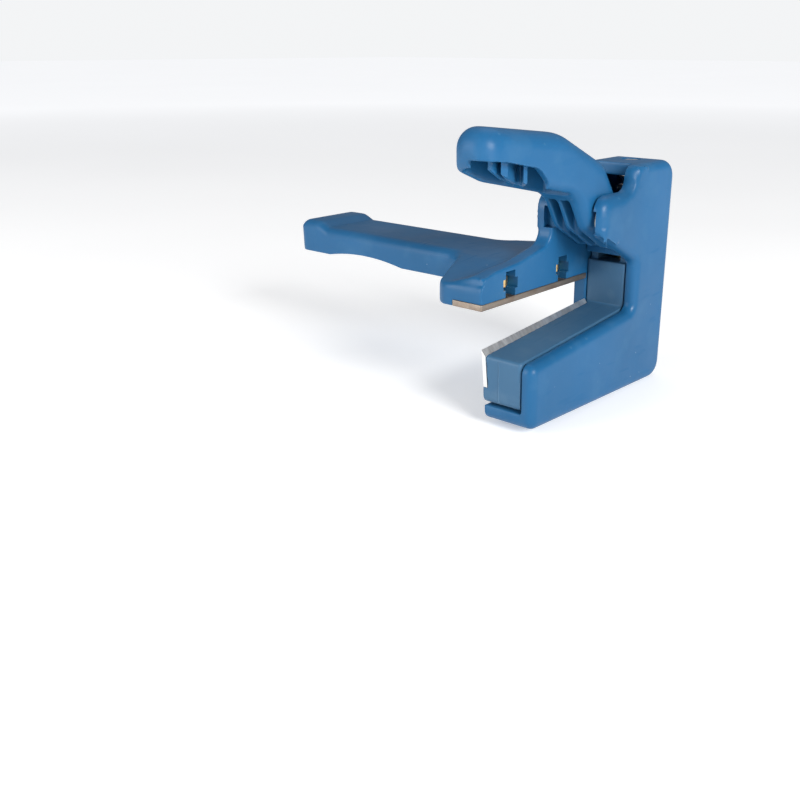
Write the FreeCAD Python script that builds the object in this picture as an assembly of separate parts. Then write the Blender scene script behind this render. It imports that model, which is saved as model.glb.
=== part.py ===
"""Hand-held end trimmer for edge banding: a shoe that rests on the banded edge, an L-shaped housing,
and a lever that lifts a blade carriage past the steel shear plate.

Frame: X = 0 is the shear plane (the panel's end), +X points out past the end.
Y = 0 is the middle of the panel's thickness. Z = 0 is the sole, +Z is up.  Millimetres.
"""
import FreeCAD, Part
import math
import os

V = FreeCAD.Vector

# ---------------------------------------------------------------- driving dimensions
# Shoe
TONGUE_LENGTH = 117.0      # from the shear plane back along the panel
TONGUE_WIDTH = 28.0
TONGUE_THICK = 10.0
TONGUE_EDGE_ROUND = 3.5
LIP_RISE = 2.0             # ridge across the tongue's end
ARCH_HEIGHT = 2.0          # relief under the tongue
ARCH_SPAN = 39.0
ARCH_MIDDLE = 79.5         # from the shear plane
SHOULDER_START = 33.0      # where the tongue widens, from the shear plane
WING_LENGTH = 18.0         # the cross piece, along X, at its tips
WEB_THICK = 6.0            # upright web and post, along X
WEB_TOP_NEAR = 11.3        # web height near its free end
WEB_TOP_FAR = 14.4         # web height beside the post
POST_FACE = 5.0            # post's free face, from the middle plane
POST_TOP = 32.0
BACK_WALL_THICK = 5.0      # wall that closes the housing on its panel side

# Throat and shear plate
THROAT_NEAR = 41.0         # reach of the cutting gap on the free side
THROAT_FAR = 17.0          # from the middle plane to the column
PLATE_WIDTH = 12.0
PLATE_THICK = 2.0
PLATE_SCREW_Y = (-26.5, 2.1)
PLATE_SCREW_SETBACK = 6.0  # from the shear plane
SHEAR_CLEARANCE = 0.05

# Housing
REACH = 20.0               # outer face, from the shear plane
COLUMN_DEPTH = 22.0        # along Y
COLUMN_TOP = 40.0
SIDE_WALL = 4.3
REAR_WALL = 4.2
TOP_WALL = 4.0
FLOOR_LEVEL = 30.0         # top of the arm's floor, below the sole
FLOOR_NEAR = 5.0           # floor thickness at the arm's free end
FLOOR_FAR = 7.2            # floor thickness at the column's back
FLOOR_START = 1.2          # floor lip's edge, from the shear plane
ARM_TOP_NEAR = 14.0        # arm wall's top, below the sole, at the free end
ARM_SLOPE = 0.095
OUTER_ROUND = 2.5
CORNER_ROUND = 6.0
EAR_FACE = 5.5             # ear's free face, from the middle plane
EAR_TOP = 32.0
EAR_BOTTOM = 20.8          # at its free face
EAR_FOOT = 8.3             # where the ear's lower edge meets the column
GUIDE_RIB_WIDTH = 3.0
GUIDE_RIB_HEIGHT = 1.2

# Motion
STROKE = 14.0
LEVER_ANGLE = 38.5         # degrees, grip fully up to fully down
PIVOT_Y = 2.0
PIVOT_Z = 24.0

# Lever
GRIP_TIP = 57.0            # from the middle plane
GRIP_TOP = 55.8
GRIP_WALL = 2.2
GRIP_ROUND = 5.0
LEVER_SIDE_GAP = 0.7
HUB_RADIUS = 5.5
WIDE_RADIUS = 15.8         # full-width part stays inside this radius past the pivot
TAIL_WIDTH = 8.0
FORK_HALF_THICK = 3.8
FORK_CLEARANCE = 0.35      # radial, around the lift pin
FORK_OVERRUN = 1.6         # fork tips past the pin's furthest place

# Carriage
CARRIAGE_SIDE_GAP = 0.5    # to the housing's side wall
CARRIAGE_BACK_GAP = 0.3    # to the shoe's back wall and the housing's rear wall
CARRIAGE_FLOOR_GAP = 0.5
CARRIAGE_TOP = 7.0
BLOCK_ABOVE_ARM = 0.4
CARRIAGE_ROUND = 2.0
EAR_PLATE = 2.7            # the two ears that hold the lift pin
EAR_PLATE_RADIUS = 3.2

# Blade
BLADE_EDGE_NEAR = 12.0     # edge below the sole at the free end
BLADE_SLOPE = 0.085
BLADE_HEIGHT = 12.0
BLADE_THICK = 1.4
BLADE_BEVEL = 2.0
BLADE_LEAN = 4.5           # degrees
BLADE_SCREW_Y = (-33.0, -12.0, 9.0)
BLADE_SCREW_DROP = 8.0     # below the cutting edge
BLADE_SCREW_LENGTH = 9.0
BLADE_NUT_START = 5.5      # from the blade's front face
BLADE_END_GAP = 0.4        # blade's end to the column part of the carriage
STRIP_THICK = 0.8          # nylon wear strips in the carriage's outer side
STRIP_PROUD = 0.3

# Pins, rod, bushes, fasteners
PIVOT_RADIUS = 2.5
LIFT_PIN_RADIUS = 1.5
ROD_RADIUS = 2.5
ROD_Y = 29.2
ROD_X = 8.0
ROD_SOCKET = 3.0
RUNNING_FIT = 0.05
BUSH_WALL = 1.2
BUSH_LENGTH = 8.0
PAD_RECESS = 1.0           # rubber stop let into the floor
BUSH_FLANGE = 1.0
LEVER_BUSH_LENGTH = 4.0
SPRING_RADIUS = 3.3        # to the wire's middle
SPRING_WIRE = 0.45         # radius
SPRING_TURNS = 9
WASHER_THICK = 0.6
SEAT_GAP = 0.05            # between stacked loose pieces
M4_RADIUS = 2.0
M4_HEAD_RADIUS = 4.0
M4_NUT_FLATS = 7.0
M4_NUT_THICK = 3.2
M3_RADIUS = 1.5
M3_HEAD_RADIUS = 3.0
M3_HEAD_HEIGHT = 2.2
M3_NUT_FLATS = 5.5
M3_NUT_THICK = 2.4
DOWEL_RADIUS = 1.25
THREAD_FIT = 0.02          # radial, thread drawn as a plain shank in its hole
SHORT_SCREW_END = 3.9      # housing screws, how far past the joint
LONG_SCREW_END = 11.0
DOWEL_DEPTH = 3.0          # in the shoe
DOWEL_END = 6.0            # in the housing
BOSS_RADIUS = 3.2
PIVOT_INSERT_RADIUS = 3.3
PIVOT_HEAD_RADIUS = 4.5
PIVOT_HEAD_HEIGHT = 2.2
PIVOT_WASHER_RADIUS = 5.0
PIVOT_WASHER_THICK = 0.5
FLANGE_WIDTH = 0.5

# ---------------------------------------------------------------- derived places
COLUMN_FACE = THROAT_FAR
COLUMN_BACK = THROAT_FAR + COLUMN_DEPTH
SIDE_INNER = REACH - SIDE_WALL
REAR_INNER = COLUMN_BACK - REAR_WALL
TOP_INNER = COLUMN_TOP - TOP_WALL
HALF_TONGUE = TONGUE_WIDTH / 2
CARRIAGE_OUT = SIDE_INNER - CARRIAGE_SIDE_GAP
CARRIAGE_IN = CARRIAGE_BACK_GAP
CARRIAGE_BOTTOM = -FLOOR_LEVEL + CARRIAGE_FLOOR_GAP
LEVER_IN = LEVER_SIDE_GAP
LEVER_OUT = SIDE_INNER - LEVER_SIDE_GAP
LEVER_MIDDLE = (LEVER_IN + LEVER_OUT) / 2
HALF_TURN = math.radians(LEVER_ANGLE / 2)
PIN_REACH = STROKE / 2 / math.tan(HALF_TURN)
PIN_Y = PIVOT_Y + PIN_REACH
PIN_Z = PIVOT_Z - STROKE / 2
FORK_END = PIN_REACH / math.cos(HALF_TURN) + FORK_OVERRUN
ROD_TOP = TOP_INNER
SPRING_BOTTOM = CARRIAGE_TOP + BUSH_FLANGE + WASHER_THICK + 2 * SEAT_GAP
BUSH_RADIUS = ROD_RADIUS + RUNNING_FIT + BUSH_WALL
FLANGE_RADIUS = BUSH_RADIUS + FLANGE_WIDTH
LEVER_BUSH_RADIUS = PIVOT_RADIUS + RUNNING_FIT + BUSH_WALL
BLADE_LENGTH = THROAT_NEAR + THROAT_FAR - BLADE_END_GAP
PIVOT_INSERT_START = SIDE_INNER + 0.3
PIVOT_INSERT_END = REACH - 0.9
# housing screws and dowels as (Y, Z): two long screws in the floor, a short one in the boss above
HOUSING_SCREWS = ((COLUMN_FACE + 4.5, -FLOOR_LEVEL - FLOOR_NEAR / 2 - 0.8),
                  (COLUMN_BACK - 5.0, -FLOOR_LEVEL - FLOOR_FAR / 2),
                  (REAR_INNER + 1.0, TOP_INNER - 7.0))
DOWELS = ((COLUMN_BACK - REAR_WALL / 2, 8.0), (COLUMN_BACK - REAR_WALL / 2, -18.0))
# wear strips as (Y from, Y to, Z from, Z to) in the carriage's outer side
STRIPS = ((-THROAT_NEAR + 7.0, -4.0, -24.0, -19.0), (COLUMN_FACE + 8.5, COLUMN_FACE + 14.5, -24.0, 2.0))


# ---------------------------------------------------------------- helpers
def box(x0, x1, y0, y1, z0, z1):
    """Block between two corners."""
    return Part.makeBox(x1 - x0, y1 - y0, z1 - z0, V(x0, y0, z0))


def rod(radius, start, end):
    """Round bar from one point to another."""
    direction = end - start
    return Part.makeCylinder(radius, direction.Length, start, direction)


def rod_x(radius, x0, x1, y, z):
    """Round bar along X."""
    return rod(radius, V(x0, y, z), V(x1, y, z))


def rod_z(radius, x, y, z0, z1):
    """Round bar along Z."""
    return rod(radius, V(x, y, z0), V(x, y, z1))


def cone_x(r0, r1, x0, x1, y, z):
    """Countersunk head along X, from radius r0 at x0 to r1 at x1."""
    return Part.makeCone(r0, r1, x1 - x0, V(x0, y, z), V(1, 0, 0))


def tube_x(outer, inner, x0, x1, y, z):
    """Bush or washer along X."""
    return rod_x(outer, x0, x1, y, z).cut(rod_x(inner, x0 - 1, x1 + 1, y, z))


def tube_z(outer, inner, x, y, z0, z1):
    """Bush or washer along Z."""
    return rod_z(outer, x, y, z0, z1).cut(rod_z(inner, x, y, z0 - 1, z1 + 1))


def hexagon(flats, thick, centre, axis, bore):
    """Nut with its flats square to Y, drawn with a plain bore."""
    corner = flats / math.sqrt(3)
    side = V(0, 1, 0).cross(axis)
    points = []
    for k in range(6):
        turn = math.radians(60 * k)
        points.append(centre + side * (corner * math.cos(turn)) + V(0, 1, 0) * (corner * math.sin(turn)))
    body = Part.Face(Part.makePolygon(points + [points[0]])).extrude(axis * thick)
    return body.cut(rod(bore, centre - axis, centre + axis * (thick + 1)))


def rounded_face(points, place):
    """Flat face from corners (u, v, corner radius); place puts (u, v) into space."""
    ends = []
    count = len(points)
    for k in range(count):
        before = V(points[k - 1][0], points[k - 1][1], 0)
        corner = V(points[k][0], points[k][1], 0)
        after = V(points[(k + 1) % count][0], points[(k + 1) % count][1], 0)
        radius = points[k][2]
        if radius == 0:
            ends.append((corner, None, corner))
            continue
        to_before = (before - corner).normalize()
        to_after = (after - corner).normalize()
        half = to_before.getAngle(to_after) / 2
        middle = (to_before + to_after).normalize()
        centre = corner + middle * (radius / math.sin(half))
        step = radius / math.tan(half)
        ends.append((corner + to_before * step, centre - middle * radius, corner + to_after * step))
    edges = []
    for k in range(count):
        start, bulge, stop = ends[k]
        if bulge is not None:
            arc = Part.Arc(place(start.x, start.y), place(bulge.x, bulge.y), place(stop.x, stop.y))
            edges.append(arc.toShape())
        following = ends[(k + 1) % count][0]
        if following.distanceToPoint(stop) > 0.001:
            run = Part.LineSegment(place(stop.x, stop.y), place(following.x, following.y))
            edges.append(run.toShape())
    return Part.Face(Part.Wire(edges))


def prism_x(points, x0, x1):
    """Outline in (Y, Z) carried along X."""
    return rounded_face(points, lambda u, v: V(x0, u, v)).extrude(V(x1 - x0, 0, 0))


def prism_y(points, y0, y1):
    """Outline in (X, Z) carried along Y."""
    return rounded_face(points, lambda u, v: V(u, y0, v)).extrude(V(0, y1 - y0, 0))


def prism_z(points, z0, z1):
    """Outline in (X, Y) carried along Z."""
    return rounded_face(points, lambda u, v: V(u, v, z0)).extrude(V(0, 0, z1 - z0))


def round_edges(shape, radius, chosen):
    """Fillet the edges whose box answers to the test."""
    return shape.makeFillet(radius, [edge for edge in shape.Edges if chosen(edge.BoundBox)])


def arm_top(y):
    """Height of the arm wall's top."""
    return -ARM_TOP_NEAR + ARM_SLOPE * (y + THROAT_NEAR)


def blade_edge(y):
    """Height of the cutting edge at rest."""
    return -BLADE_EDGE_NEAR + BLADE_SLOPE * (y + THROAT_NEAR)


def save(name, shape):
    """Write one sub-part."""
    os.makedirs("parts", exist_ok=True)
    shape.exportStep("parts/" + name + ".step")
    print(name, len(shape.Solids), "solid", round(shape.Volume, 1), "mm3", shape.isValid())


# ---------------------------------------------------------------- shoe


def shoe_plan():
    """T-shaped plate: the tongue, its diagonal shoulders and the cross piece."""
    side = []
    for sign, end in ((-1, THROAT_NEAR), (1, COLUMN_BACK)):
        side.append([(-TONGUE_LENGTH, sign * HALF_TONGUE, 5.0), (-SHOULDER_START, sign * HALF_TONGUE, 8.0),
                     (-WING_LENGTH, sign * end, 4.5), (0.0, sign * end, 0.0)])
    plate = prism_z(side[0] + side[1][::-1], 0.0, TONGUE_THICK)
    return round_edges(plate, TONGUE_EDGE_ROUND,
                       lambda b: b.ZMin > TONGUE_THICK - 0.01 and b.XMax < -0.01 or
                       b.ZMin > TONGUE_THICK - 0.01 and b.XLength > 1)


def shoe_web():
    """Upright web, pivot post and the wall behind the housing, all in one plane."""
    return prism_x([(-THROAT_NEAR + TONGUE_EDGE_ROUND, 2.0, 0.0),
                    (-THROAT_NEAR + TONGUE_EDGE_ROUND, WEB_TOP_NEAR - 0.8, 2.5),
                    (-22.0, WEB_TOP_NEAR + 0.8, 20.0),
                    (-POST_FACE, WEB_TOP_FAR + 1.0, 5.0),
                    (-POST_FACE, POST_TOP, 6.0),
                    (COLUMN_FACE, POST_TOP, 2.0),
                    (COLUMN_FACE, TOP_INNER, 0.0),
                    (COLUMN_BACK, TOP_INNER, 2.0),
                    (COLUMN_BACK, 2.0, 0.0)], -WEB_THICK, 0.0)


def shoe_back_wall():
    """Part of the wall that reaches below the sole, beside the panel."""
    low = -FLOOR_LEVEL - FLOOR_FAR + 1.0
    return prism_x([(COLUMN_FACE, TOP_INNER - 4, 0.0), (COLUMN_FACE, low + 1.0, 2.0),
                    (COLUMN_BACK, low, 4.0), (COLUMN_BACK, TOP_INNER - 4, 0.0)], -BACK_WALL_THICK, 0.0)


def rounded_end(sign):
    """What the ridge's end loses so that it rolls over like the tongue's long edges."""
    radius = TONGUE_EDGE_ROUND
    middle_y = sign * (HALF_TONGUE - radius)
    middle_z = TONGUE_THICK + LIP_RISE - radius
    corner = box(-TONGUE_LENGTH - 1, -TONGUE_LENGTH + 18, min(middle_y, sign * (HALF_TONGUE + 1)),
                 max(middle_y, sign * (HALF_TONGUE + 1)), middle_z, middle_z + radius + 1)
    return corner.cut(rod_x(radius, -TONGUE_LENGTH - 2, -TONGUE_LENGTH + 19, middle_y, middle_z))


def tongue_lip():
    """Rounded ridge across the tongue's end."""
    base = TONGUE_THICK - TONGUE_EDGE_ROUND
    ridge = prism_y([(-TONGUE_LENGTH, base, 0.0), (-TONGUE_LENGTH, TONGUE_THICK + LIP_RISE, 5.5),
                     (-TONGUE_LENGTH + 12.0, TONGUE_THICK + LIP_RISE, 4.0),
                     (-TONGUE_LENGTH + 17.0, TONGUE_THICK - 0.3, 0.0),
                     (-TONGUE_LENGTH + 17.0, base, 0.0)], -HALF_TONGUE, HALF_TONGUE)
    plan = prism_z([(-TONGUE_LENGTH, -HALF_TONGUE, 5.0), (-TONGUE_LENGTH + 20, -HALF_TONGUE, 0.0),
                    (-TONGUE_LENGTH + 20, HALF_TONGUE, 0.0), (-TONGUE_LENGTH, HALF_TONGUE, 5.0)],
                   0.0, TONGUE_THICK + LIP_RISE)
    ends = [rounded_end(sign) for sign in (-1, 1)]
    return ridge.common(plan).cut(ends)


def nut_slot(y):
    """Cross-shaped slot in the web's face: a screw groove with a wider pocket for the nut."""
    half_pocket = (M4_NUT_FLATS + 0.3) / 2
    depth = PLATE_SCREW_SETBACK + M4_NUT_FLATS / math.sqrt(3) + 0.2
    groove = box(-depth, 1, y - 2.5, y + 2.5, PLATE_THICK - 1, TONGUE_THICK - 1.4)
    front = box(-WEB_THICK + 2, 1, y - 2.5, y + 2.5, PLATE_THICK - 1, 10.3)
    pocket = box(-depth, 1, y - half_pocket, y + half_pocket, 4.4, 4.4 + M4_NUT_THICK + 0.3)
    return groove.fuse([front, pocket])


def shoe():
    body = shoe_plan().fuse([shoe_web(), shoe_back_wall(), tongue_lip()])
    arch_radius = ((ARCH_SPAN / 2) ** 2 + ARCH_HEIGHT ** 2) / (2 * ARCH_HEIGHT)
    cuts = [rod(arch_radius, V(-ARCH_MIDDLE, -HALF_TONGUE - 1, ARCH_HEIGHT - arch_radius),
                V(-ARCH_MIDDLE, HALF_TONGUE + 1, ARCH_HEIGHT - arch_radius)),
            box(-PLATE_WIDTH, 1, -THROAT_NEAR - 1, COLUMN_FACE, -1, PLATE_THICK),
            rod_x(PIVOT_RADIUS + THREAD_FIT, -WEB_THICK - 1, 1, PIVOT_Y, PIVOT_Z),
            box(-3.2, 1, -POST_FACE - 1, -POST_FACE + 2.4, 20.5, 27.5)]
    cuts += [nut_slot(y) for y in PLATE_SCREW_Y]
    for y, z in HOUSING_SCREWS:
        wall = WEB_THICK if z > 0 else BACK_WALL_THICK
        cuts.append(rod_x(M3_RADIUS + THREAD_FIT, -wall - 1, 1, y, z))
        cuts.append(rod_x(M3_HEAD_RADIUS + 0.2, -wall - 1, -wall + M3_HEAD_HEIGHT, y, z))
    for y, z in DOWELS:
        cuts.append(rod_x(DOWEL_RADIUS + THREAD_FIT, -DOWEL_DEPTH, 1, y, z))
    return body.cut(cuts).removeSplitter()


def shear_plate():
    plate = box(-PLATE_WIDTH, 0, -THROAT_NEAR, COLUMN_FACE, 0, PLATE_THICK)
    for y in PLATE_SCREW_Y:
        plate = plate.cut(Part.makeCone(M4_HEAD_RADIUS + THREAD_FIT, M4_RADIUS + THREAD_FIT, PLATE_THICK,
                                        V(-PLATE_SCREW_SETBACK, y, 0)))
    return plate


def shear_plate_screws():
    screws = []
    for y in PLATE_SCREW_Y:
        head = Part.makeCone(M4_HEAD_RADIUS, M4_RADIUS, PLATE_THICK, V(-PLATE_SCREW_SETBACK, y, 0))
        shank = rod_z(M4_RADIUS, -PLATE_SCREW_SETBACK, y, PLATE_THICK, TONGUE_THICK - 1.6)
        drive = box(-PLATE_SCREW_SETBACK - 2, -PLATE_SCREW_SETBACK + 2, y - 0.5, y + 0.5, -0.5, 1.0)
        screws.append(head.fuse(shank).cut(drive).removeSplitter())
    return Part.makeCompound(screws)


def shear_plate_nuts():
    nuts = [hexagon(M4_NUT_FLATS, M4_NUT_THICK, V(-PLATE_SCREW_SETBACK, y, 4.55), V(0, 0, 1),
                    M4_RADIUS + THREAD_FIT) for y in PLATE_SCREW_Y]
    return Part.makeCompound(nuts)


# ---------------------------------------------------------------- housing
def housing_side():
    """Outline seen along X: arm, column, ear beside the lever and rounded outer corners."""
    bottom_near = -FLOOR_LEVEL - FLOOR_NEAR
    bottom_far = -FLOOR_LEVEL - FLOOR_FAR
    outline = [(-THROAT_NEAR, bottom_near, 3.5),
               (COLUMN_BACK, bottom_far, CORNER_ROUND),
               (COLUMN_BACK, COLUMN_TOP, CORNER_ROUND),
               (COLUMN_FACE - 5.0, COLUMN_TOP, 4.0),
               (COLUMN_FACE - 5.0, EAR_TOP, 4.0),
               (-EAR_FACE, EAR_TOP, 5.0),
               (-EAR_FACE, EAR_BOTTOM - 0.5, 3.0),
               (COLUMN_FACE, EAR_FOOT, 3.0),
               (COLUMN_FACE, arm_top(COLUMN_FACE), 3.0),
               (-THROAT_NEAR, arm_top(-THROAT_NEAR), 3.0)]
    solid = prism_x(outline, 0.0, REACH)
    return round_edges(solid, OUTER_ROUND, lambda b: b.XMin > REACH - 0.01)


def guide_rib(clearance):
    """Upright rib on the side wall that the carriage's groove slides along."""
    middle = COLUMN_FACE + 5.0
    half = GUIDE_RIB_WIDTH / 2 + clearance
    return box(SIDE_INNER - GUIDE_RIB_HEIGHT - clearance, SIDE_INNER + 0.1, middle - half, middle + half,
               -FLOOR_LEVEL, 5.0 if clearance == 0 else CARRIAGE_TOP + 1)


def housing():
    body = housing_side()
    cuts = [box(-1, SIDE_INNER, -THROAT_NEAR - 1, COLUMN_FACE, -FLOOR_LEVEL, COLUMN_TOP + 1),
            box(-1, SIDE_INNER, COLUMN_FACE - 0.01, REAR_INNER, -FLOOR_LEVEL, TOP_INNER),
            box(-1, FLOOR_START, -THROAT_NEAR - 1, COLUMN_FACE, -FLOOR_LEVEL - 20, -FLOOR_LEVEL + 1)]
    body = body.cut(cuts)
    for y, z in HOUSING_SCREWS:
        if z > 0:
            boss = rod_x(BOSS_RADIUS, 0, SHORT_SCREW_END, y, z)
            body = body.fuse(boss.common(box(0, REACH, COLUMN_FACE, COLUMN_BACK, 0, COLUMN_TOP)))
    body = body.fuse(guide_rib(0.0))
    holes = [pad_block(-FLOOR_LEVEL - PAD_RECESS, -FLOOR_LEVEL + 1),
             rod_z(ROD_RADIUS + THREAD_FIT, ROD_X, ROD_Y, -FLOOR_LEVEL - ROD_SOCKET, -FLOOR_LEVEL + 1),
             rod_z(M3_RADIUS + THREAD_FIT, ROD_X, ROD_Y, TOP_INNER - 1, COLUMN_TOP + 1),
             rod_z(M3_HEAD_RADIUS + 0.3, ROD_X, ROD_Y, COLUMN_TOP - M3_HEAD_HEIGHT, COLUMN_TOP + 1),
             rod_x(PIVOT_INSERT_RADIUS, SIDE_INNER - 1, PIVOT_INSERT_END + SEAT_GAP, PIVOT_Y, PIVOT_Z),
             box(SIDE_INNER - 1, SIDE_INNER + 1.2, -EAR_FACE - 1, -EAR_FACE + 3.0, 20.5, 27.5)]
    for y, z in HOUSING_SCREWS:
        end = SHORT_SCREW_END - 0.4 if z > 0 else LONG_SCREW_END + 0.5
        holes.append(rod_x(M3_RADIUS + THREAD_FIT, -1, end, y, z))
    for y, z in DOWELS:
        holes.append(rod_x(DOWEL_RADIUS + THREAD_FIT, -1, DOWEL_END, y, z))
    return body.cut(holes).removeSplitter()


def housing_screws():
    screws = []
    for y, z in HOUSING_SCREWS:
        wall = WEB_THICK if z > 0 else BACK_WALL_THICK
        end = SHORT_SCREW_END - 0.6 if z > 0 else LONG_SCREW_END
        seat = -wall + M3_HEAD_HEIGHT
        head = rod_x(M3_HEAD_RADIUS, -wall + 0.3, seat, y, z)
        drive = box(-wall, -wall + 1.3, y - 0.4, y + 0.4, z - 2, z + 2)
        screws.append(head.fuse(rod_x(M3_RADIUS, seat, end, y, z)).cut(drive).removeSplitter())
    return Part.makeCompound(screws)


def locating_pins():
    return Part.makeCompound([rod_x(DOWEL_RADIUS, -DOWEL_DEPTH + 0.1, DOWEL_END - 0.1, y, z)
                              for y, z in DOWELS])


# ---------------------------------------------------------------- pivot


def pivot_screw():
    """Shoulder screw: slotted head outside the post, thread in the ear's insert."""
    head = rod_x(PIVOT_HEAD_RADIUS, -WEB_THICK - PIVOT_HEAD_HEIGHT, -WEB_THICK, PIVOT_Y, PIVOT_Z)
    shoulder = rod_x(PIVOT_RADIUS, -WEB_THICK, PIVOT_INSERT_START, PIVOT_Y, PIVOT_Z)
    thread = rod_x(M4_RADIUS, PIVOT_INSERT_START, PIVOT_INSERT_END - 0.3, PIVOT_Y, PIVOT_Z)
    slot = box(-WEB_THICK - PIVOT_HEAD_HEIGHT - 1, -WEB_THICK - PIVOT_HEAD_HEIGHT + 1.0,
               PIVOT_Y - 6, PIVOT_Y + 6, PIVOT_Z - 0.5, PIVOT_Z + 0.5)
    return head.fuse([shoulder, thread]).cut(slot).removeSplitter()


def pivot_insert():
    return tube_x(PIVOT_INSERT_RADIUS, M4_RADIUS + THREAD_FIT, PIVOT_INSERT_START, PIVOT_INSERT_END,
                  PIVOT_Y, PIVOT_Z)


def pivot_washers():
    washers = []
    for start in (LEVER_SIDE_GAP - PIVOT_WASHER_THICK - 0.1, SIDE_INNER - LEVER_SIDE_GAP + 0.1):
        washers.append(tube_x(PIVOT_WASHER_RADIUS, PIVOT_RADIUS + RUNNING_FIT, start,
                              start + PIVOT_WASHER_THICK, PIVOT_Y, PIVOT_Z))
    return Part.makeCompound(washers)


# ---------------------------------------------------------------- lever
def turned(radius, across):
    """Point on the tail at rest: distance from the pivot and offset across the tail's line."""
    return (PIVOT_Y + radius * math.cos(HALF_TURN) + across * math.sin(HALF_TURN),
            PIVOT_Z - radius * math.sin(HALF_TURN) + across * math.cos(HALF_TURN))


def lever_outline():
    """Side view of the lever with the grip fully up."""
    upper = turned(FORK_END, FORK_HALF_THICK)
    lower = turned(FORK_END, -FORK_HALF_THICK)
    return [(-GRIP_TIP, GRIP_TOP, 6.0), (-19.5, 51.7, 22.0), (4.3, 41.2, 5.5), (14.5, 27.5, 6.0),
            (upper[0], upper[1], 2.0), (lower[0], lower[1], 2.0), (8.5, 13.8, 4.0),
            (-12.0, 32.5, 12.0), (-GRIP_TIP, 42.6, 9.0)]


def lever_ribs():
    """Zigzag stiffening ribs in the grip's hollow, with a small ring boss at their meeting point."""
    ribs = []
    for (x0, y0), (x1, y1) in (((12.0, -54.0), (3.2, -31.0)), ((13.2, -48.5), (3.2, -27.5)),
                               ((13.2, -37.5), (3.2, -25.5))):
        along = V(x1 - x0, y1 - y0, 0)
        across = V(-along.y, along.x, 0).normalize() * 0.7
        start = V(x0, y0, 34.0)
        corners = [start + across, start + along + across, start + along - across, start - across]
        ribs.append(Part.Face(Part.makePolygon(corners + [corners[0]])).extrude(V(0, 0, 20)))
    ribs.append(rod_z(1.6, 5.2, -31.5, 34.0, 54.0))
    return ribs


def lever():
    side = lever_outline()
    # rounded over its top and tip first, then trimmed to the square-edged underside
    deep = side[:4] + [(30.0, 0.0, 0.0), (-GRIP_TIP, 0.0, 0.0)]
    body = round_edges(prism_x(deep, LEVER_IN, LEVER_OUT), GRIP_ROUND,
                       lambda b: b.XLength < 0.01 and b.ZMax > 1.0)
    body = body.common(prism_x(side, LEVER_IN, LEVER_OUT))
    # hollow under the grip, with its ribs trimmed to the rim
    hollow = prism_x([(-GRIP_TIP + 3.2, 52.4, 3.0), (-18.5, 48.9, 8.0), (-14.0, 46.5, 1.5),
                      (-14.0, 20.0, 0.0), (-GRIP_TIP + 3.2, 20.0, 0.0)],
                     LEVER_IN + GRIP_WALL, LEVER_OUT - GRIP_WALL)
    rim = prism_x([(-GRIP_TIP + 5.0, 60.0, 0.0), (-15.0, 60.0, 0.0), (-15.0, 33.7, 0.0),
                   (-GRIP_TIP + 5.0, 44.0, 0.0)], LEVER_IN, LEVER_OUT)
    ribs = [rib.common(hollow).common(rim) for rib in lever_ribs()]
    # the outer side's rim stands higher than the inner side's, and the ribs slope between them
    scoop = prism_x([(-GRIP_TIP - 2.0, 20.0, 0.0), (-GRIP_TIP - 2.0, 47.2, 0.0), (-33.0, 42.8, 8.0),
                     (-25.0, 38.5, 3.0), (-25.0, 20.0, 0.0)], LEVER_OUT - GRIP_WALL - 1.0, LEVER_OUT + 1)
    grooves = []
    first = LEVER_IN + GRIP_WALL
    middle_rib = 2.0
    width = (LEVER_OUT - GRIP_WALL - first - middle_rib) / 2
    for start in (first, first + width + middle_rib):
        grooves.append(prism_x([(-10.5, 43.0, 2.0), (0.5, 37.5, 3.0), (10.0, 24.5, 3.0), (11.5, 5.0, 0.0),
                                (-10.5, 5.0, 0.0)], start, start + width))
    body = body.cut([hollow] + grooves).fuse(ribs).cut(scoop)
    hub = rod_x(HUB_RADIUS, LEVER_IN, LEVER_OUT, PIVOT_Y, PIVOT_Z)
    body = body.fuse(hub)
    # full width only near the pivot; the tail is narrow where it runs between the carriage's ears
    keep = box(LEVER_IN - 1, LEVER_OUT + 1, -GRIP_TIP - 5, PIVOT_Y, 0, 70).fuse(
        [rod_x(WIDE_RADIUS, LEVER_IN - 1, LEVER_OUT + 1, PIVOT_Y, PIVOT_Z),
         box(LEVER_IN - 1, LEVER_OUT + 1, PIVOT_Y - 1, 9.0, PIVOT_Z, 70),
         box(LEVER_MIDDLE - TAIL_WIDTH / 2, LEVER_MIDDLE + TAIL_WIDTH / 2, 0, 40, 0, 70)])
    body = body.common(keep)
    # open-ended fork for the lift pin
    slot_half = LIFT_PIN_RADIUS + FORK_CLEARANCE
    inner = PIN_REACH - LIFT_PIN_RADIUS
    corners = [turned(inner, slot_half), turned(FORK_END + 3, slot_half), turned(FORK_END + 3, -slot_half),
               turned(inner, -slot_half)]
    fork = prism_x([(y, z, 0.0) for y, z in corners], LEVER_IN - 1, LEVER_OUT + 1)
    seat = turned(inner, 0.0)
    fork = fork.fuse(rod_x(slot_half, LEVER_IN - 1, LEVER_OUT + 1, seat[0], seat[1]))
    bore = rod_x(LEVER_BUSH_RADIUS + THREAD_FIT, LEVER_IN - 1, LEVER_OUT + 1, PIVOT_Y, PIVOT_Z)
    return body.cut([fork, bore]).removeSplitter()


def lever_bushes():
    bushes = []
    for start in (LEVER_IN, LEVER_OUT - LEVER_BUSH_LENGTH):
        bushes.append(tube_x(LEVER_BUSH_RADIUS, PIVOT_RADIUS + RUNNING_FIT, start,
                             start + LEVER_BUSH_LENGTH, PIVOT_Y, PIVOT_Z))
    return Part.makeCompound(bushes)


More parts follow.
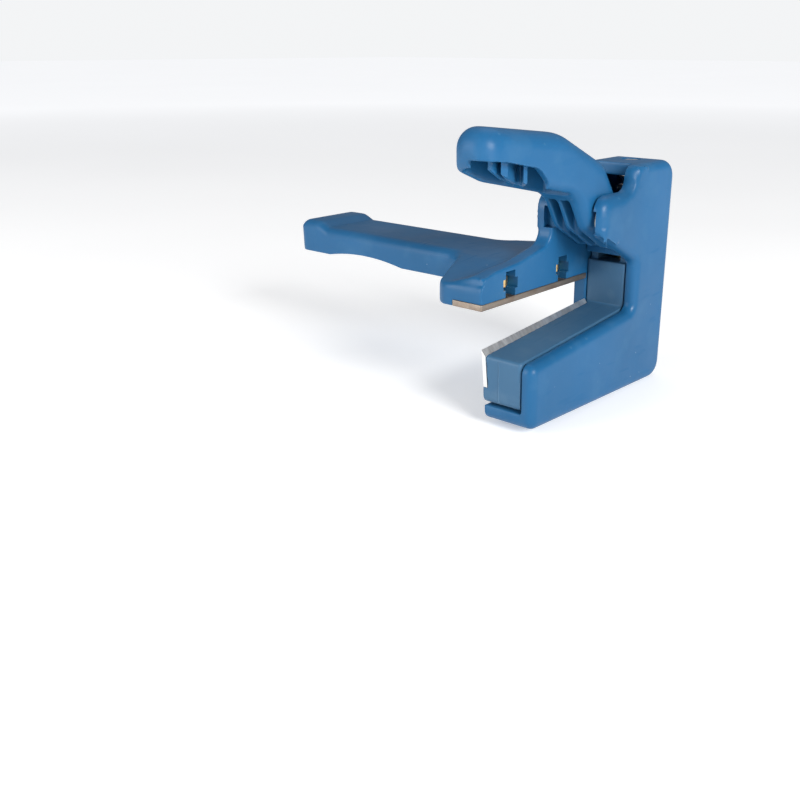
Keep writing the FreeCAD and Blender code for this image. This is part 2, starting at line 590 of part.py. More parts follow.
# ---------------------------------------------------------------- carriage and blade
def blade_profile(lean):
    """Section of the blade at its free end, as (X, Z) corners; lean is the tilt of its faces."""
    edge = blade_edge(-THROAT_NEAR)
    run = math.tan(lean)
    back = BLADE_THICK / math.cos(lean)
    foot = edge - BLADE_HEIGHT
    return [(SHEAR_CLEARANCE, edge), (SHEAR_CLEARANCE + BLADE_HEIGHT * run, foot),
            (SHEAR_CLEARANCE + BLADE_HEIGHT * run + back, foot),
            (SHEAR_CLEARANCE + BLADE_BEVEL * run + back, edge - BLADE_BEVEL)]


def along_slope(corners, length):
    """Carry an (X, Z) section along the blade's sloping line."""
    points = [V(x, -THROAT_NEAR, z) for x, z in corners]
    return Part.Face(Part.makePolygon(points + [points[0]])).extrude(V(0, length, length * BLADE_SLOPE))


def blade_screw_places():
    """Where each blade screw's axis meets the blade's front face."""
    run = math.tan(math.radians(BLADE_LEAN))
    return [(SHEAR_CLEARANCE + BLADE_SCREW_DROP * run, y, blade_edge(y) - BLADE_SCREW_DROP)
            for y in BLADE_SCREW_Y]


def blade():
    plate = along_slope(blade_profile(math.radians(BLADE_LEAN)), BLADE_LENGTH)
    holes = []
    for x, y, z in blade_screw_places():
        holes.append(rod_x(M3_RADIUS + THREAD_FIT, x - 2, x + 4, y, z))
        holes.append(cone_x(M3_HEAD_RADIUS + 0.3, M3_RADIUS + 0.1, x - 0.2, x + 1.45, y, z))
    return plate.cut(holes)


def blade_screws():
    screws = []
    for x, y, z in blade_screw_places():
        head = cone_x(M3_HEAD_RADIUS - 0.2, M3_RADIUS, x + 0.15, x + 1.35, y, z)
        shank = rod_x(M3_RADIUS, x + 1.35, x + BLADE_SCREW_LENGTH, y, z)
        drive = box(x, x + 0.7, y - 1.6, y + 1.6, z - 0.35, z + 0.35)
        screws.append(head.fuse(shank).cut(drive).removeSplitter())
    return Part.makeCompound(screws)


def blade_nuts():
    return Part.makeCompound([hexagon(M3_NUT_FLATS, M3_NUT_THICK, V(x + BLADE_NUT_START, y, z), V(1, 0, 0),
                                      M3_RADIUS + THREAD_FIT) for x, y, z in blade_screw_places()])


def carriage():
    block_top = arm_top(-THROAT_NEAR) + BLOCK_ABOVE_ARM
    block_top_far = arm_top(COLUMN_FACE + 1) + BLOCK_ABOVE_ARM
    block = prism_x([(-THROAT_NEAR + 0.2, CARRIAGE_BOTTOM, 2.5), (COLUMN_FACE + 1, CARRIAGE_BOTTOM, 0.0),
                     (COLUMN_FACE + 1, block_top_far, 0.0), (-THROAT_NEAR + 0.2, block_top, 1.0)],
                    0.5, CARRIAGE_OUT)
    block = round_edges(block, CARRIAGE_ROUND,
                        lambda b: b.YMax > COLUMN_FACE + 0.9 and b.YLength > 20 and
                        b.ZMax < CARRIAGE_BOTTOM + 0.1 and b.XMin > CARRIAGE_OUT - 0.1)
    face = COLUMN_FACE + CARRIAGE_BACK_GAP
    back = REAR_INNER - CARRIAGE_BACK_GAP
    column = box(CARRIAGE_IN, CARRIAGE_OUT, face, back, CARRIAGE_BOTTOM, CARRIAGE_TOP)
    column = round_edges(column, 1.0, lambda b: b.ZLength > 20 and b.YMin > back - 0.1)
    ears = []
    for x0 in (CARRIAGE_IN + 0.3, CARRIAGE_OUT - 0.3 - EAR_PLATE):
        plate = box(x0, x0 + EAR_PLATE, PIN_Y - EAR_PLATE_RADIUS, PIN_Y + EAR_PLATE_RADIUS,
                    CARRIAGE_TOP - 1, PIN_Z)
        ears.append(plate.fuse(rod_x(EAR_PLATE_RADIUS, x0, x0 + EAR_PLATE, PIN_Y, PIN_Z)))
    body = block.fuse([column] + ears)
    # the blade's slanted seat, down to the ledge under it
    lean = math.radians(BLADE_LEAN)
    corners = blade_profile(lean)
    seat_top = (corners[3][0] - 6.0 * math.tan(lean), corners[3][1] + 6.0)
    seat = along_slope([corners[2], seat_top, (-3.0, seat_top[1]), (-3.0, corners[2][1])], BLADE_LENGTH + 0.1)
    cuts = [seat, guide_rib(0.3),
            rod_z(BUSH_RADIUS, ROD_X, ROD_Y, CARRIAGE_TOP - BUSH_LENGTH, CARRIAGE_TOP + 1),
            rod_z(BUSH_RADIUS, ROD_X, ROD_Y, CARRIAGE_BOTTOM - 1, CARRIAGE_BOTTOM + BUSH_LENGTH),
            rod_z(FLANGE_RADIUS, ROD_X, ROD_Y, CARRIAGE_BOTTOM - 1, CARRIAGE_BOTTOM + BUSH_FLANGE),
            rod_z(ROD_RADIUS + 0.5, ROD_X, ROD_Y, CARRIAGE_BOTTOM, CARRIAGE_TOP),
            rod_x(LIFT_PIN_RADIUS + THREAD_FIT, -1, REACH, PIN_Y, PIN_Z)]
    for x, y, z in blade_screw_places():
        cuts.append(rod_x(M3_RADIUS + THREAD_FIT, x, x + BLADE_SCREW_LENGTH + 0.5, y, z))
        cuts.append(box(x + BLADE_NUT_START - 0.1, x + BLADE_NUT_START + M3_NUT_THICK + 0.1,
                        y - M3_NUT_FLATS / 2 - 0.1, y + M3_NUT_FLATS / 2 + 0.1,
                        CARRIAGE_BOTTOM - 1, z + M3_NUT_FLATS / 2 + 0.6))
    for y0, y1, z0, z1 in STRIPS:
        cuts.append(box(CARRIAGE_OUT + STRIP_PROUD - STRIP_THICK, CARRIAGE_OUT + 1, y0, y1, z0, z1))
    return body.cut(cuts).removeSplitter()


def wear_strips():
    strips = [box(CARRIAGE_OUT + STRIP_PROUD - STRIP_THICK, CARRIAGE_OUT + STRIP_PROUD,
                  y0 + 0.1, y1 - 0.1, z0 + 0.1, z1 - 0.1) for y0, y1, z0, z1 in STRIPS]
    return Part.makeCompound(strips)


def lift_pin():
    return rod_x(LIFT_PIN_RADIUS, CARRIAGE_IN + 0.3, CARRIAGE_OUT - 0.3, PIN_Y, PIN_Z)


def carriage_bushes():
    upper = tube_z(BUSH_RADIUS, ROD_RADIUS + RUNNING_FIT, ROD_X, ROD_Y, CARRIAGE_TOP - BUSH_LENGTH,
                   CARRIAGE_TOP)
    upper_flange = tube_z(FLANGE_RADIUS, ROD_RADIUS + RUNNING_FIT, ROD_X, ROD_Y, CARRIAGE_TOP,
                          CARRIAGE_TOP + BUSH_FLANGE)
    lower = tube_z(BUSH_RADIUS, ROD_RADIUS + RUNNING_FIT, ROD_X, ROD_Y, CARRIAGE_BOTTOM + BUSH_FLANGE,
                   CARRIAGE_BOTTOM + BUSH_LENGTH)
    lower_flange = tube_z(FLANGE_RADIUS, ROD_RADIUS + RUNNING_FIT, ROD_X, ROD_Y, CARRIAGE_BOTTOM,
                          CARRIAGE_BOTTOM + BUSH_FLANGE)
    return Part.makeCompound([upper.fuse(upper_flange).removeSplitter(),
                              lower.fuse(lower_flange).removeSplitter()])


# ---------------------------------------------------------------- guide rod and spring
def guide_rod():
    bar = rod_z(ROD_RADIUS, ROD_X, ROD_Y, -FLOOR_LEVEL - ROD_SOCKET + SEAT_GAP, ROD_TOP)
    return bar.cut(rod_z(M3_RADIUS + THREAD_FIT, ROD_X, ROD_Y, ROD_TOP - 8.0, ROD_TOP + 1))


def guide_rod_screw():
    seat = COLUMN_TOP - M3_HEAD_HEIGHT
    head = rod_z(M3_HEAD_RADIUS, ROD_X, ROD_Y, seat, COLUMN_TOP - 0.3)
    shank = rod_z(M3_RADIUS, ROD_X, ROD_Y, ROD_TOP - 7.0, seat)
    drive = box(ROD_X - 2, ROD_X + 2, ROD_Y - 0.4, ROD_Y + 0.4, COLUMN_TOP - 1.4, COLUMN_TOP)
    return head.fuse(shank).cut(drive).removeSplitter()


def return_spring():
    bottom = SPRING_BOTTOM + SPRING_WIRE
    height = TOP_INNER - SEAT_GAP - SPRING_WIRE - bottom
    helix = Part.makeHelix(height / SPRING_TURNS, height, SPRING_RADIUS)
    helix.translate(V(ROD_X, ROD_Y, bottom))
    section = Part.Wire(Part.Circle(V(ROD_X + SPRING_RADIUS, ROD_Y, bottom), V(0, 1, 0),
                                    SPRING_WIRE).toShape())
    return Part.Wire(helix).makePipeShell([section], True, True)


def spring_washer():
    start = CARRIAGE_TOP + BUSH_FLANGE + SEAT_GAP
    return tube_z(FLANGE_RADIUS - 0.4, ROD_RADIUS + 0.2, ROD_X, ROD_Y, start, start + WASHER_THICK)


def pad_block(low, high):
    """Rounded block in the pad's place on the floor, between two heights."""
    return prism_z([(3.0, COLUMN_FACE + 0.8, 2.0), (13.0, COLUMN_FACE + 0.8, 2.0),
                    (13.0, COLUMN_FACE + 7.5, 2.0), (3.0, COLUMN_FACE + 7.5, 2.0)], low, high)


def buffer_pad():
    """Rubber stop let into the floor under the carriage."""
    return pad_block(-FLOOR_LEVEL - PAD_RECESS, CARRIAGE_BOTTOM - SEAT_GAP)


PIECES = {"shoe": shoe, "housing": housing, "shear_plate": shear_plate,
          "shear_plate_screws": shear_plate_screws, "shear_plate_nuts": shear_plate_nuts,
          "housing_screws": housing_screws, "locating_pins": locating_pins,
          "pivot_screw": pivot_screw, "pivot_insert": pivot_insert, "pivot_washers": pivot_washers,
          "guide_rod": guide_rod, "guide_rod_screw": guide_rod_screw, "return_spring": return_spring,
          "buffer_pad": buffer_pad, "lever": lever, "lever_bushes": lever_bushes,
          "carriage": carriage, "blade": blade, "blade_screws": blade_screws, "blade_nuts": blade_nuts,
          "lift_pin": lift_pin, "carriage_bushes": carriage_bushes, "wear_strips": wear_strips,
          "spring_washer": spring_washer}

for piece_name, make in PIECES.items():
    save(piece_name, make())
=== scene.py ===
import math

import bmesh
import bpy
from mathutils import Matrix, Vector


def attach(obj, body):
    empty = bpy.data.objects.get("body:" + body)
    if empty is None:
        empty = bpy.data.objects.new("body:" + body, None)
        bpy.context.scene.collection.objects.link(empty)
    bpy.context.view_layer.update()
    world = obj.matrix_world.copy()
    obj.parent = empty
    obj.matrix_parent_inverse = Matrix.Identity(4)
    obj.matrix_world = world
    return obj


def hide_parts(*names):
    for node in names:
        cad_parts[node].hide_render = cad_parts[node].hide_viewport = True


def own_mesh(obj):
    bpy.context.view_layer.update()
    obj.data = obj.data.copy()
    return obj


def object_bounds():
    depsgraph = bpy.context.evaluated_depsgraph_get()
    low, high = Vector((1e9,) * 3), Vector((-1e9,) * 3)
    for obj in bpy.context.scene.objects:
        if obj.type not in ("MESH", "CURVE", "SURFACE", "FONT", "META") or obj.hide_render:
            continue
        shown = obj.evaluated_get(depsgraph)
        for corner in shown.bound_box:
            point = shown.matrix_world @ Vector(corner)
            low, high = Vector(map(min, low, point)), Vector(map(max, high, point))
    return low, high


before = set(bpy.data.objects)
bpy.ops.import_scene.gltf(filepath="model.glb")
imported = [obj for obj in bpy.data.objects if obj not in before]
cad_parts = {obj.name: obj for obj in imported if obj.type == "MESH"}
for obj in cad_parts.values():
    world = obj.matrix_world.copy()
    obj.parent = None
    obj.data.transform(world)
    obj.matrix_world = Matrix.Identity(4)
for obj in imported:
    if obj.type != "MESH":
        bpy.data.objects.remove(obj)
cad_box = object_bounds()

# ---------------------------------------------------------------- shoe
# The blue shoe that slides on the banded edge: a long tongue with a turned-up lip, diagonal
# shoulders, a cross piece, and one upright wall that grows into the post for the lever. Injection
# moulded in glass-filled nylon, with the nut slots and screw holes cored out.
MM = 0.001
PIVOT = (2, 24)
PLATE_SCREWS = (-26.5, 2.1)
HOUSING_SCREWS = ((21.5, -33.3, 5), (34, -33.6, 5), (35.8, 29, 6))
PLACES = {"X": lambda along, u, v: Vector((along, u, v)) * MM,
          "Y": lambda along, u, v: Vector((u, along, v)) * MM,
          "Z": lambda along, u, v: Vector((u, v, along)) * MM}


def put_down():
    """Leave edit mode with nothing selected."""
    if bpy.context.mode != "OBJECT":
        bpy.ops.object.mode_set(mode="OBJECT")
    bpy.ops.object.select_all(action="DESELECT")


def settle(piece):
    """Leave edit mode and put the piece's place into its mesh."""
    put_down()
    bpy.context.view_layer.objects.active = piece
    piece.select_set(True)
    bpy.ops.object.transform_apply(location=True, rotation=True, scale=True)
    piece.select_set(False)
    return piece


def pick(test, kind="EDGE"):
    """Select what answers to the test in edit mode; the test gets corner places in millimetres."""
    bpy.ops.mesh.select_mode(type=kind)
    bpy.ops.mesh.select_all(action="DESELECT")
    mesh = bmesh.from_edit_mesh(bpy.context.object.data)
    items = {"VERT": mesh.verts, "EDGE": mesh.edges, "FACE": mesh.faces}[kind]
    for item in items:
        ends = [item.co] if kind == "VERT" else [corner.co for corner in item.verts]
        item.select_set(bool(test([end / MM for end in ends])))
    mesh.select_flush_mode()
    bmesh.update_edit_mesh(bpy.context.object.data)


def walked(name, points):
    """Start a piece in edit mode: one vertex is pulled from place to place, leaving edges."""
    put_down()
    bpy.ops.mesh.primitive_plane_add(size=MM, location=points[0])
    piece = bpy.context.object
    piece.name = name
    bpy.ops.object.transform_apply(location=True)
    bpy.ops.object.mode_set(mode="EDIT")
    bpy.ops.mesh.select_mode(type="VERT")
    bpy.ops.mesh.select_all(action="SELECT")
    bpy.ops.mesh.merge(type="CENTER")
    for before, after in zip(points, points[1:]):
        bpy.ops.mesh.extrude_region_move(TRANSFORM_OT_translate={"value": after - before})
    bpy.ops.mesh.select_all(action="SELECT")
    bpy.ops.mesh.remove_doubles(threshold=0.005 * MM)
    bpy.ops.mesh.select_all(action="SELECT")
    return piece


def drawn(name, corners, axis, start, end):
    """A block: an outline is walked, filled and pulled along an axis, and its corners rounded."""
    place = PLACES[axis]
    points = [place(start, u, v) for u, v, radius in corners]
    block = walked(name, points + points[:1])
    bpy.ops.mesh.edge_face_add()
    bpy.ops.mesh.extrude_region_move(
        TRANSFORM_OT_translate={"value": place(end, 0, 0) - place(start, 0, 0)})
    bpy.ops.mesh.select_all(action="SELECT")
    bpy.ops.mesh.normals_make_consistent(inside=False)
    first, second = [k for k in range(3) if "XYZ"[k] != axis]
    for k, (u, v, radius) in enumerate(corners):
        if radius == 0:
            continue
        corner = Vector((u, v))
        back = (Vector(corners[k - 1][:2]) - corner).normalized()
        ahead = (Vector(corners[(k + 1) % len(corners)][:2]) - corner).normalized()
        pick(lambda ends: all(abs(e[first] - u) < 0.01 and abs(e[second] - v) < 0.01 for e in ends))
        reach = radius / math.tan(back.angle(ahead) / 2)
        bpy.ops.mesh.bevel(offset=reach * MM, offset_type="OFFSET", affect="EDGES",
                           segments=max(4, min(12, round(2 * radius))), clamp_overlap=False)
    return settle(block)


def brick(x0, x1, y0, y1, z0, z1):
    """A square-cornered cutting block between two corners."""
    put_down()
    bpy.ops.mesh.primitive_cube_add(size=1, location=Vector((x0 + x1, y0 + y1, z0 + z1)) * MM / 2,
                                    scale=Vector((x1 - x0, y1 - y0, z1 - z0)) * MM)
    return settle(bpy.context.object)


def dowel(axis, radius, start, end, u, v, sides=40):
    """A round cutting bar along an axis."""
    turn = {"X": (0, math.pi / 2, 0), "Y": (math.pi / 2, 0, 0), "Z": (0, 0, 0)}[axis]
    put_down()
    bpy.ops.mesh.primitive_cylinder_add(
        vertices=sides, radius=radius * MM, depth=abs(end - start) * MM,
        location=PLACES[axis]((start + end) / 2, u, v), rotation=turn)
    return settle(bpy.context.object)


def worked(body, operation, tools):
    """Join tools to the body, cut them from it, or keep only what they share."""
    for tool in tools:
        step = body.modifiers.new("work", "BOOLEAN")
        step.object = tool
        step.operation = operation
        step.solver = "EXACT"
        bpy.context.view_layer.objects.active = body
        bpy.ops.object.modifier_apply(modifier=step.name)
        bpy.data.objects.remove(tool)
    return body


def rolled(body, rim):
    """Round edges, each to its own radius: rim gives it for an edge's two ends, or 0."""
    mesh = body.data
    weights = mesh.attributes.new("bevel_weight_edge", "FLOAT", "EDGE")
    radii = []
    for edge in mesh.edges:
        radii.append(rim([mesh.vertices[k].co / MM for k in edge.vertices]))
    widest = max(radii)
    weights.data.foreach_set("value", [radius / widest for radius in radii])
    step = body.modifiers.new("roll", "BEVEL")
    step.width = widest * MM
    step.limit_method = "WEIGHT"
    step.segments = 8
    step.use_clamp_overlap = False
    bpy.context.view_layer.objects.active = body
    bpy.ops.object.modifier_apply(modifier=step.name)
    return body


def moulded(body, grain, passes):
    """Skin the body evenly and ease every edge, as a moulding comes from its tool."""
    skin = body.modifiers.new("skin", "REMESH")
    skin.mode = "VOXEL"
    skin.voxel_size = grain * MM
    ease = body.modifiers.new("ease", "SMOOTH")
    ease.factor = 0.5
    ease.iterations = passes
    bpy.context.view_layer.objects.active = body
    bpy.ops.object.modifier_apply(modifier="skin")
    bpy.ops.object.modifier_apply(modifier="ease")
    return body


def shaded(body, crease=50):
    """Smooth shading that stays crisp over edges sharper than the crease angle."""
    put_down()
    bpy.context.view_layer.objects.active = body
    body.select_set(True)
    bpy.ops.object.shade_smooth_by_angle(angle=math.radians(crease))
    body.select_set(False)
    return body


def blended(body, near, passes):
    """Ease only the skin near a place, for a deep soft blend; near is asked in millimetres."""
    group = body.vertex_groups.new(name="blend")
    inside = [v.index for v in body.data.vertices if near(v.co / MM)]
    group.add(inside, 1.0, "REPLACE")
    ease = body.modifiers.new("blend", "SMOOTH")
    ease.factor = 0.5
    ease.iterations = passes
    ease.vertex_group = group.name
    bpy.context.view_layer.objects.active = body
    bpy.ops.object.modifier_apply(modifier="blend")
    body.vertex_groups.clear()
    return body


def ramp(nodes, links, source, stops):
    """A colour ramp fed by a value: stops are (place, colour) pairs."""
    node = nodes.new("ShaderNodeValToRGB")
    while len(node.color_ramp.elements) < len(stops):
        node.color_ramp.elements.new(0.5)
    for element, (place, colour) in zip(node.color_ramp.elements, stops):
        element.position = place
        element.color = (*colour, 1.0)
    links.new(source, node.inputs["Fac"])
    return node.outputs["Color"]


def grey(value):
    return (value, value, value)


def pattern(nodes, links, scale, detail, stretch=(1, 1, 1), turn=(0, 0, 0)):
    """Noise in the piece's own place; scale is in repeats per metre."""
    where = nodes.new("ShaderNodeTexCoord")
    lay = nodes.new("ShaderNodeMapping")
    lay.inputs["Scale"].default_value = stretch
    lay.inputs["Rotation"].default_value = turn
    noise = nodes.new("ShaderNodeTexNoise")
    noise.inputs["Scale"].default_value = scale
    noise.inputs["Detail"].default_value = detail
    links.new(where.outputs["Object"], lay.inputs["Vector"])
    links.new(lay.outputs["Vector"], noise.inputs["Vector"])
    return noise.outputs["Fac"]


def mixed(nodes, links, amount, first, second):
    """Blend two colours by a value."""
    node = nodes.new("ShaderNodeMix")
    node.data_type = "RGBA"
    links.new(amount, node.inputs["Factor"])
    for socket, colour in ((node.inputs["A"], first), (node.inputs["B"], second)):
        if isinstance(colour, tuple):
            socket.default_value = (*colour, 1.0)
        else:
            links.new(colour, socket)
    return node.outputs["Result"]


def bumped(nodes, links, height, strength, depth, under=None):
    """Raise the surface by a pattern, over an earlier bump."""
    node = nodes.new("ShaderNodeBump")
    node.inputs["Strength"].default_value = strength
    node.inputs["Distance"].default_value = depth * MM
    links.new(height, node.inputs["Height"])
    if under is not None:
        links.new(under, node.inputs["Normal"])
    return node.outputs["Normal"]


def plastic(name, colour, deeper, dust_and_edge_highlight, smoothest, roughest):
    """Moulded plastic: flow mottling, rubbed patches, hair scratches, dust, and convex edges
    painted paler as a painted highlight.
    """
    made = bpy.data.materials.new(name)
    made.use_nodes = True
    nodes, links = made.node_tree.nodes, made.node_tree.links
    shader = nodes["Principled BSDF"]
    flow = pattern(nodes, links, 28, 4, stretch=(1, 1, 0.45))
    flow = ramp(nodes, links, flow, [(0.3, grey(0)), (0.72, grey(1))])
    base = mixed(nodes, links, flow, deeper, colour)
    patch = ramp(nodes, links, pattern(nodes, links, 110, 6), [(0.52, grey(0)), (0.8, grey(0.30))])
    base = mixed(nodes, links, patch, base, dust_and_edge_highlight)
    where = nodes.new("ShaderNodeTexCoord")
    dust = nodes.new("ShaderNodeTexVoronoi")
    dust.inputs["Scale"].default_value = 260
    dust.inputs["Randomness"].default_value = 1.0
    links.new(where.outputs["Object"], dust.inputs["Vector"])
    specks = ramp(nodes, links, dust.outputs["Distance"], [(0.035, grey(1)), (0.075, grey(0))])
    scarce = ramp(nodes, links, pattern(nodes, links, 75, 2), [(0.56, grey(0)), (0.66, grey(0.75))])
    specks = mixed(nodes, links, scarce, grey(0.0), specks)
    base = mixed(nodes, links, specks, base, (0.62, 0.68, 0.72))
    # Convex edges are painted paler towards the rubbed-patch colour: this is a painted highlight
    # along the edges, not wear.
    edge = nodes.new("ShaderNodeNewGeometry").outputs["Pointiness"]
    edge_highlight = ramp(nodes, links, edge, [(0.53, grey(0)), (0.60, grey(0.32))])
    base = mixed(nodes, links, edge_highlight, base, dust_and_edge_highlight)
    links.new(base, shader.inputs["Base Color"])
    hair = pattern(nodes, links, 900, 2, stretch=(1, 0.06, 0.3), turn=(0.3, 0.2, 0.5))
    rub = pattern(nodes, links, 55, 5)
    lines = ramp(nodes, links, hair, [(0.62, grey(0)), (0.7, grey(0.5))])
    both = mixed(nodes, links, lines, rub, grey(0.9))
    links.new(ramp(nodes, links, both, [(0.3, grey(smoothest)), (0.75, grey(roughest))]),
              shader.inputs["Roughness"])
    shader.inputs["IOR"].default_value = 1.5
    shader.inputs["Specular IOR Level"].default_value = 0.26
    normal = bumped(nodes, links, pattern(nodes, links, 2600, 3), 0.25, 0.03)
    normal = bumped(nodes, links, pattern(nodes, links, 70, 2), 0.20, 0.12, normal)
    normal = bumped(nodes, links, hair, 0.10, 0.02, normal)
    links.new(normal, shader.inputs["Normal"])
    return made


def fitted(piece, name, body, material, slot, *nodes):
    """Name a piece, give it its finish, hang it on its body and stand it in for its CAD nodes."""
    piece.name = name
    piece.data.name = name
    piece.data.materials.clear()
    piece.data.materials.append(material)
    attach(piece, body)
    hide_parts(*nodes)


blue = plastic("blue_moulding", (0.012, 0.110, 0.264), (0.010, 0.090, 0.214),
               (0.062, 0.170, 0.300), 0.30, 0.52)

shoe = drawn("shoe_plan", [(-117, -14, 5), (-33, -14, 8), (-18, -41, 6.0), (0, -41, 0),
                           (0, 39, 0), (-18, 39, 6.0), (-33, 14, 8), (-117, 14, 5)], "Z", 0, 10)


def shoe_rim(ends):
    """The tongue's long edges roll over gently, the shoulders and the cross piece's tips more."""
    if min(e.z for e in ends) < 9.99 or min(e.x for e in ends) > -0.01:
        return 0.0
    return 3.5 if max(e.x for e in ends) < -30 else 4.8


shoe = rolled(shoe, shoe_rim)
FALL = 0.13
for side in (-1, 1):
    fall = drawn("fall", [(side * 40, 10 - FALL * 40, 0), (0, 10, 0), (0, 16, 0),
                          (side * 40, 16, 0)], "X", -20, 45)
    fall.rotation_euler.z = side * math.radians(10.3)
    fall.location = Vector((-33, side * 14, 0)) * MM
    shoe = worked(shoe, "DIFFERENCE", [settle(fall)])
web = drawn("web", [(-39.8, 2, 0), (-39.8, 9.8, 2.2), (-33.4, 11.3, 8), (-22, 12.1, 20),
                    (-5, 15.6, 5), (-5, 32, 6), (17, 32, 2), (17, 36, 0), (39, 36, 2),
                    (39, 2, 0)], "X", -6, 0)
web = rolled(web, lambda ends: 0.7 if min(e.z for e in ends) > 10 and
             min(e.x for e in ends) > -0.01 else 0.0)
wall = drawn("wall", [(17, 32, 0), (17, -35.2, 2), (39, -36.2, 4), (39, 32, 0)], "X", -5, 0)
lip = drawn("lip", [(-117, 6.5, 0), (-117, 12, 5.5), (-105, 12, 4), (-100, 9.7, 0), (-100, 6.5, 0)],
            "Y", -14, 14)
lip = rolled(lip, lambda ends: 3.5 if min(e.z for e in ends) > 6.6 and
             (max(e.y for e in ends) < -13.9 or min(e.y for e in ends) > 13.9) else 0.0)
plan = drawn("lip_plan", [(-117, -14, 5), (-90, -14, 0), (-90, 14, 0), (-117, 14, 5)], "Z", 0, 13)
lip = worked(lip, "INTERSECT", [plan])
rise = drawn("rise", [(-17, 4.0, 0), (-17, 6.4, 0), (-4.6, 10.0, 0), (-1.1, 10.0, 0),
                      (-1.1, 4.0, 0)], "Y", -39.6, -22)
shoe = worked(shoe, "UNION", [web, wall, lip, rise])
shoe = worked(shoe, "DIFFERENCE", [brick(-12, 1, -42, 17, -1, 2)])
shoe = moulded(shoe, 0.42, 2)
shoe = blended(shoe, lambda p: -15 < p.x < -4.5 and 9 < p.z < 20 and -38 < p.y < 15, 70)
shoe = blended(shoe, lambda p: p.x < (-1.6 if p.y < 0 else -6.6) and abs(p.y) > 15 and
               2.5 < p.z < 12, 40)
ARCH_RADIUS = (19.5 ** 2 + 2.0 ** 2) / 4.0
coring = [dowel("Y", ARCH_RADIUS, -16, 16, -79.5, 2.0 - ARCH_RADIUS, sides=360),
          dowel("X", 2.52, -7, 1, *PIVOT), brick(-3.2, 1, -6, -2.6, 20.5, 27.5)]
for y in PLATE_SCREWS:
    coring.append(worked(brick(-10.2, 1, y - 2.5, y + 2.5, 1, 7.85), "UNION",
                         [brick(-4, 1.1, y - 2.4, y + 2.4, 1.1, 10.3),
                          brick(-10.1, 1.2, y - 3.65, y + 3.65, 4.4, 7.9),
                          dowel("Z", 2.1, 7, 8.4, -6, y)]))
for y, z, thick in HOUSING_SCREWS:
    coring.append(worked(dowel("X", 1.52, -thick - 1, 1, y, z), "UNION",
                         [dowel("X", 3.2, -thick - 1.1, -thick + 2.2, y, z)]))
shoe = shaded(worked(shoe, "DIFFERENCE", coring))
fitted(shoe, "shoe_moulding", "frame", blue, "blue_plastic", "shoe")

# ---------------------------------------------------------------- shear plate
# The flat steel plate that the banding is cut against, let into the sole: ground tool steel with
# broken edges and a brownish stain, held by two countersunk screws whose nuts sit in the slots.


def metal(name, bright, dull, stain, smoothest, roughest, lay=(1, 1, 1), turn=(0, 0, 0),
          scale=900):
    """Worked metal: tool marks along its lay, cloudy stain and uneven polish."""
    made = bpy.data.materials.new(name)
    made.use_nodes = True
    nodes, links = made.node_tree.nodes, made.node_tree.links
    shader = nodes["Principled BSDF"]
    marks = pattern(nodes, links, scale, 4, stretch=lay, turn=turn)
    cloud = pattern(nodes, links, 130, 5)
    streaks = ramp(nodes, links, marks, [(0.35, grey(0)), (0.7, grey(1))])
    spots = ramp(nodes, links, cloud, [(0.5, grey(0)), (0.78, grey(0.7))])
    base = mixed(nodes, links, spots, mixed(nodes, links, streaks, dull, bright), stain)
    links.new(base, shader.inputs["Base Color"])
    shader.inputs["Metallic"].default_value = 1.0
    rough = mixed(nodes, links, cloud, marks, grey(0.6))
    links.new(ramp(nodes, links, rough, [(0.35, grey(smoothest)), (0.7, grey(roughest))]),
              shader.inputs["Roughness"])
    links.new(bumped(nodes, links, marks, 0.35, 0.03), shader.inputs["Normal"])
    return made


plate_steel = metal("plate_steel", (0.40, 0.345, 0.29), (0.27, 0.225, 0.19), (0.20, 0.12, 0.075),
                    0.38, 0.62, lay=(1, 0.05, 1), scale=700)
zinc = metal("zinc_plating", (0.66, 0.67, 0.68), (0.50, 0.52, 0.55), (0.42, 0.42, 0.40),
             0.25, 0.45, lay=(1, 1, 0.2))
passivated = metal("yellow_passivation", (0.66, 0.49, 0.22), (0.52, 0.36, 0.15),
                   (0.55, 0.30, 0.24), 0.30, 0.5)


def turned(name, axis, u, v, profile, sides=40):
    """A lathe-turned piece: (radius, along) places are walked and spun round an axis at (u, v)."""
    place = PLACES[axis]
    points = [place(along, u + radius, v) for radius, along in profile]
    closed = profile[0][0] > 0
    piece = walked(name, points + points[:1] if closed else points)
    bpy.ops.mesh.spin(steps=sides, angle=2 * math.pi, center=place(0, u, v),
                      axis=place(1, 0, 0).normalized())
    bpy.ops.mesh.select_all(action="SELECT")
    bpy.ops.mesh.remove_doubles(threshold=0.002 * MM)
    bpy.ops.mesh.select_all(action="SELECT")
    bpy.ops.mesh.normals_make_consistent(inside=False)
    return settle(piece)


def thread(radius, start, end, pitch):
    """Places down a threaded shank: crest and root in turn."""
    count = int(abs(end - start) / pitch)
    step = math.copysign(pitch, end - start)
    rings = []
    for k in range(count):
        rings.append((radius, start + k * step))
        rings.append((radius - 0.55 * pitch, start + (k + 0.5) * step))
    return rings


plate = drawn("plate", [(-12, -41, 0.4), (0, -41, 0.4), (0, 17, 0), (-12, 17, 0)], "Z", 0, 2)
plate = rolled(plate, lambda ends: 0.22 if abs(ends[0].z - ends[1].z) < 0.01 else 0.0)
sinks = [turned("sink", "Z", -6, y, [(0, -0.5), (4.5, -0.5), (2.0, 2.02), (2.0, 3), (0, 3)])
         for y in PLATE_SCREWS]
plate = shaded(worked(plate, "DIFFERENCE", sinks), 30)
fitted(plate, "shear_plate_ground", "frame", plate_steel, "ground_steel", "shear_plate")
screws = []
for y in PLATE_SCREWS:
    screw = turned("screw", "Z", -6, y, [(0, 0.05), (3.7, 0.05), (3.9, 0.2), (1.95, 2.0)] +
                   thread(1.95, 2.1, 8.0, 0.7) + [(1.6, 8.3), (0, 8.3)])
    screws.append(worked(screw, "DIFFERENCE", [brick(-9.5, -2.5, y - 0.5, y + 0.5, -0.5, 1.0)]))
screws = shaded(worked(screws[0], "UNION", screws[1:]), 30)
